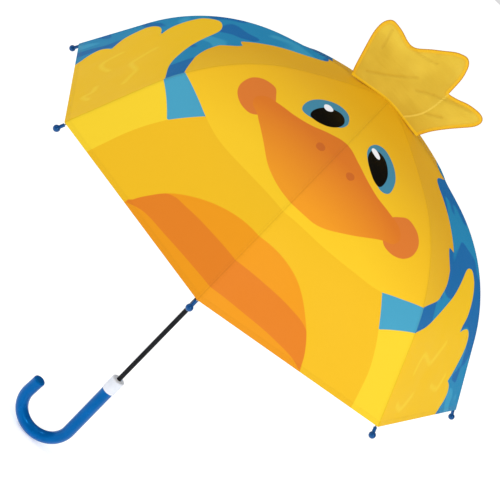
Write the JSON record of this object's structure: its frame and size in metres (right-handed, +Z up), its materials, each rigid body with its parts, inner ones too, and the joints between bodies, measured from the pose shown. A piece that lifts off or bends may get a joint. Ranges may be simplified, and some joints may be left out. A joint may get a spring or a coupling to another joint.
{
  "type": "childs umbrella",
  "caption": "Open child's dome umbrella with a printed animal-face canopy, an upright cloth crest, a steel shaft and a hooked plastic handle.",
  "frame": {"origin": "middle of the straight grip, on the shaft's axis", "axes": "+Z up the shaft towards the canopy, -Y towards the front of the printed face, +X to the right seen from the front"},
  "size_m": [0.7024, 0.7024, 0.8097],
  "materials": {
    "cloth": "matte",
    "crest_cloth": "matte",
    "steel": "polished",
    "rib_steel": "satin",
    "blue_plastic": "gloss",
    "tip_plastic": "gloss",
    "white_plastic": "satin",
    "strap_cloth": "matte"
  },
  "bodies": {
    "shaft": {"shaft_tube": "steel", "handle": "blue_plastic", "handle_collar": "white_plastic", "top_notch": "white_plastic", "notch_wire": "rib_steel", "ferrule": "blue_plastic", "crest": "crest_cloth"},
    "rib_inner_1": {"rib_inner_1": "rib_steel", "canopy_inner_1": "cloth"},
    "rib_outer_1": {"rib_outer_1": "rib_steel", "rib_tip_1": "tip_plastic", "canopy_outer_1": "cloth"},
    "stretcher_1": {"stretcher_1": "rib_steel"},
    "rib_inner_2": {"rib_inner_2": "rib_steel", "canopy_inner_2": "cloth"},
    "rib_outer_2": {"rib_outer_2": "rib_steel", "rib_tip_2": "tip_plastic", "canopy_outer_2": "cloth"},
    "stretcher_2": {"stretcher_2": "rib_steel"},
    "rib_inner_3": {"rib_inner_3": "rib_steel", "canopy_inner_3": "cloth"},
    "rib_outer_3": {"rib_outer_3": "rib_steel", "rib_tip_3": "tip_plastic", "canopy_outer_3": "cloth"},
    "stretcher_3": {"stretcher_3": "rib_steel"},
    "rib_inner_4": {"rib_inner_4": "rib_steel", "canopy_inner_4": "cloth"},
    "rib_outer_4": {"rib_outer_4": "rib_steel", "rib_tip_4": "tip_plastic", "canopy_outer_4": "cloth"},
    "stretcher_4": {"stretcher_4": "rib_steel"},
    "rib_inner_5": {"rib_inner_5": "rib_steel", "canopy_inner_5": "cloth"},
    "rib_outer_5": {"rib_outer_5": "rib_steel", "rib_tip_5": "tip_plastic", "canopy_outer_5": "cloth", "tie_strap": "strap_cloth"},
    "stretcher_5": {"stretcher_5": "rib_steel"},
    "rib_inner_6": {"rib_inner_6": "rib_steel", "canopy_inner_6": "cloth"},
    "rib_outer_6": {"rib_outer_6": "rib_steel", "rib_tip_6": "tip_plastic", "canopy_outer_6": "cloth"},
    "stretcher_6": {"stretcher_6": "rib_steel"},
    "rib_inner_7": {"rib_inner_7": "rib_steel", "canopy_inner_7": "cloth"},
    "rib_outer_7": {"rib_outer_7": "rib_steel", "rib_tip_7": "tip_plastic", "canopy_outer_7": "cloth"},
    "stretcher_7": {"stretcher_7": "rib_steel"},
    "rib_inner_8": {"rib_inner_8": "rib_steel", "canopy_inner_8": "cloth"},
    "rib_outer_8": {"rib_outer_8": "rib_steel", "rib_tip_8": "tip_plastic", "canopy_outer_8": "cloth"},
    "stretcher_8": {"stretcher_8": "rib_steel"},
    "runner": {"runner": "white_plastic", "runner_wire": "rib_steel"},
    "top_catch": {"top_catch": "rib_steel"},
    "bottom_catch": {"bottom_catch": "rib_steel"}
  },
  "joints": [
    {"name": "fold", "type": "hinge", "parent": "shaft", "child": "rib_inner_1", "pos_m": [0, -0.009, 0.60759], "axis": [1, 0, 0], "range_deg": [0, 70.1], "deforming": ["canopy_inner_1", "canopy_inner_2", "canopy_inner_3", "canopy_inner_4", "canopy_inner_5", "canopy_inner_6", "canopy_inner_7", "canopy_inner_8", "canopy_outer_1", "canopy_outer_2", "canopy_outer_3", "canopy_outer_4", "canopy_outer_5", "canopy_outer_6", "canopy_outer_7", "canopy_outer_8", "tie_strap"]},
    {"name": "rib_fold_2", "type": "hinge", "parent": "shaft", "child": "rib_inner_2", "pos_m": [0.00636, -0.00636, 0.60759], "axis": [0.7071, 0.7071, 0], "range_deg": [0, 70.1]},
    {"name": "rib_fold_3", "type": "hinge", "parent": "shaft", "child": "rib_inner_3", "pos_m": [0.009, 0, 0.60759], "axis": [0, 1, 0], "range_deg": [0, 70.1]},
    {"name": "rib_fold_4", "type": "hinge", "parent": "shaft", "child": "rib_inner_4", "pos_m": [0.00636, 0.00636, 0.60759], "axis": [-0.7071, 0.7071, 0], "range_deg": [0, 70.1]},
    {"name": "rib_fold_5", "type": "hinge", "parent": "shaft", "child": "rib_inner_5", "pos_m": [0, 0.009, 0.60759], "axis": [-1, 0, 0], "range_deg": [0, 70.1]},
    {"name": "rib_fold_6", "type": "hinge", "parent": "shaft", "child": "rib_inner_6", "pos_m": [-0.00636, 0.00636, 0.60759], "axis": [-0.7071, -0.7071, 0], "range_deg": [0, 70.1]},
    {"name": "rib_fold_7", "type": "hinge", "parent": "shaft", "child": "rib_inner_7", "pos_m": [-0.009, 0, 0.60759], "axis": [0, -1, 0], "range_deg": [0, 70.1]},
    {"name": "rib_fold_8", "type": "hinge", "parent": "shaft", "child": "rib_inner_8", "pos_m": [-0.00636, -0.00636, 0.60759], "axis": [0.7071, -0.7071, 0], "range_deg": [0, 70.1]},
    {"name": "rib_bend_1", "type": "hinge", "parent": "rib_inner_1", "child": "rib_outer_1", "pos_m": [0, -0.18443, 0.55938], "axis": [1, 0, 0], "range_deg": [-29.44, 0]},
    {"name": "rib_bend_2", "type": "hinge", "parent": "rib_inner_2", "child": "rib_outer_2", "pos_m": [0.13041, -0.13041, 0.55938], "axis": [0.7071, 0.7071, 0], "range_deg": [-29.44, 0]},
    {"name": "rib_bend_3", "type": "hinge", "parent": "rib_inner_3", "child": "rib_outer_3", "pos_m": [0.18443, 0, 0.55938], "axis": [0, 1, 0], "range_deg": [-29.44, 0]},
    {"name": "rib_bend_4", "type": "hinge", "parent": "rib_inner_4", "child": "rib_outer_4", "pos_m": [0.13041, 0.13041, 0.55938], "axis": [-0.7071, 0.7071, 0], "range_deg": [-29.44, 0]},
    {"name": "rib_bend_5", "type": "hinge", "parent": "rib_inner_5", "child": "rib_outer_5", "pos_m": [0, 0.18443, 0.55938], "axis": [-1, 0, 0], "range_deg": [-29.44, 0]},
    {"name": "rib_bend_6", "type": "hinge", "parent": "rib_inner_6", "child": "rib_outer_6", "pos_m": [-0.13041, 0.13041, 0.55938], "axis": [-0.7071, -0.7071, 0], "range_deg": [-29.44, 0]},
    {"name": "rib_bend_7", "type": "hinge", "parent": "rib_inner_7", "child": "rib_outer_7", "pos_m": [-0.18443, 0, 0.55938], "axis": [0, -1, 0], "range_deg": [-29.44, 0]},
    {"name": "rib_bend_8", "type": "hinge", "parent": "rib_inner_8", "child": "rib_outer_8", "pos_m": [-0.13041, -0.13041, 0.55938], "axis": [0.7071, -0.7071, 0], "range_deg": [-29.44, 0]},
    {"name": "stretcher_pivot_1", "type": "hinge", "parent": "rib_inner_1", "child": "stretcher_1", "pos_m": [0, -0.18443, 0.55938], "axis": [1, 0, 0], "range_deg": [-140.2, 0]},
    {"name": "stretcher_pivot_2", "type": "hinge", "parent": "rib_inner_2", "child": "stretcher_2", "pos_m": [0.13041, -0.13041, 0.55938], "axis": [0.7071, 0.7071, 0], "range_deg": [-140.2, 0]},
    {"name": "stretcher_pivot_3", "type": "hinge", "parent": "rib_inner_3", "child": "stretcher_3", "pos_m": [0.18443, 0, 0.55938], "axis": [0, 1, 0], "range_deg": [-140.2, 0]},
    {"name": "stretcher_pivot_4", "type": "hinge", "parent": "rib_inner_4", "child": "stretcher_4", "pos_m": [0.13041, 0.13041, 0.55938], "axis": [-0.7071, 0.7071, 0], "range_deg": [-140.2, 0]},
    {"name": "stretcher_pivot_5", "type": "hinge", "parent": "rib_inner_5", "child": "stretcher_5", "pos_m": [0, 0.18443, 0.55938], "axis": [-1, 0, 0], "range_deg": [-140.2, 0]},
    {"name": "stretcher_pivot_6", "type": "hinge", "parent": "rib_inner_6", "child": "stretcher_6", "pos_m": [-0.13041, 0.13041, 0.55938], "axis": [-0.7071, -0.7071, 0], "range_deg": [-140.2, 0]},
    {"name": "stretcher_pivot_7", "type": "hinge", "parent": "rib_inner_7", "child": "stretcher_7", "pos_m": [-0.18443, 0, 0.55938], "axis": [0, -1, 0], "range_deg": [-140.2, 0]},
    {"name": "stretcher_pivot_8", "type": "hinge", "parent": "rib_inner_8", "child": "stretcher_8", "pos_m": [-0.13041, -0.13041, 0.55938], "axis": [0.7071, -0.7071, 0], "range_deg": [-140.2, 0]},
    {"name": "runner_pivot", "type": "hinge", "parent": "stretcher_1", "child": "runner", "pos_m": [0, -0.009, 0.51117], "axis": [1, 0, 0], "range_deg": [0, 70.1]},
    {"name": "top_catch_press", "type": "slide", "parent": "shaft", "child": "top_catch", "axis": [-0.3827, 0.9239, 0], "range_m": [0, 0.0024], "stiffness_N_per_m": 400, "springref_m": -0.0005},
    {"name": "bottom_catch_press", "type": "slide", "parent": "shaft", "child": "bottom_catch", "axis": [-0.3827, 0.9239, 0], "range_m": [0, 0.0024], "stiffness_N_per_m": 400, "springref_m": -0.0005}
  ],
  "couplings": [
    {"joint": "rib_fold_2", "follows": "fold", "ratio": 1},
    {"joint": "rib_fold_3", "follows": "fold", "ratio": 1},
    {"joint": "rib_fold_4", "follows": "fold", "ratio": 1},
    {"joint": "rib_fold_5", "follows": "fold", "ratio": 1},
    {"joint": "rib_fold_6", "follows": "fold", "ratio": 1},
    {"joint": "rib_fold_7", "follows": "fold", "ratio": 1},
    {"joint": "rib_fold_8", "follows": "fold", "ratio": 1},
    {"joint": "rib_bend_1", "follows": "fold", "ratio": -0.42},
    {"joint": "rib_bend_2", "follows": "fold", "ratio": -0.42},
    {"joint": "rib_bend_3", "follows": "fold", "ratio": -0.42},
    {"joint": "rib_bend_4", "follows": "fold", "ratio": -0.42},
    {"joint": "rib_bend_5", "follows": "fold", "ratio": -0.42},
    {"joint": "rib_bend_6", "follows": "fold", "ratio": -0.42},
    {"joint": "rib_bend_7", "follows": "fold", "ratio": -0.42},
    {"joint": "rib_bend_8", "follows": "fold", "ratio": -0.42},
    {"joint": "stretcher_pivot_1", "follows": "fold", "ratio": -2},
    {"joint": "stretcher_pivot_2", "follows": "fold", "ratio": -2},
    {"joint": "stretcher_pivot_3", "follows": "fold", "ratio": -2},
    {"joint": "stretcher_pivot_4", "follows": "fold", "ratio": -2},
    {"joint": "stretcher_pivot_5", "follows": "fold", "ratio": -2},
    {"joint": "stretcher_pivot_6", "follows": "fold", "ratio": -2},
    {"joint": "stretcher_pivot_7", "follows": "fold", "ratio": -2},
    {"joint": "stretcher_pivot_8", "follows": "fold", "ratio": -2},
    {"joint": "runner_pivot", "follows": "fold", "ratio": 1}
  ]
}
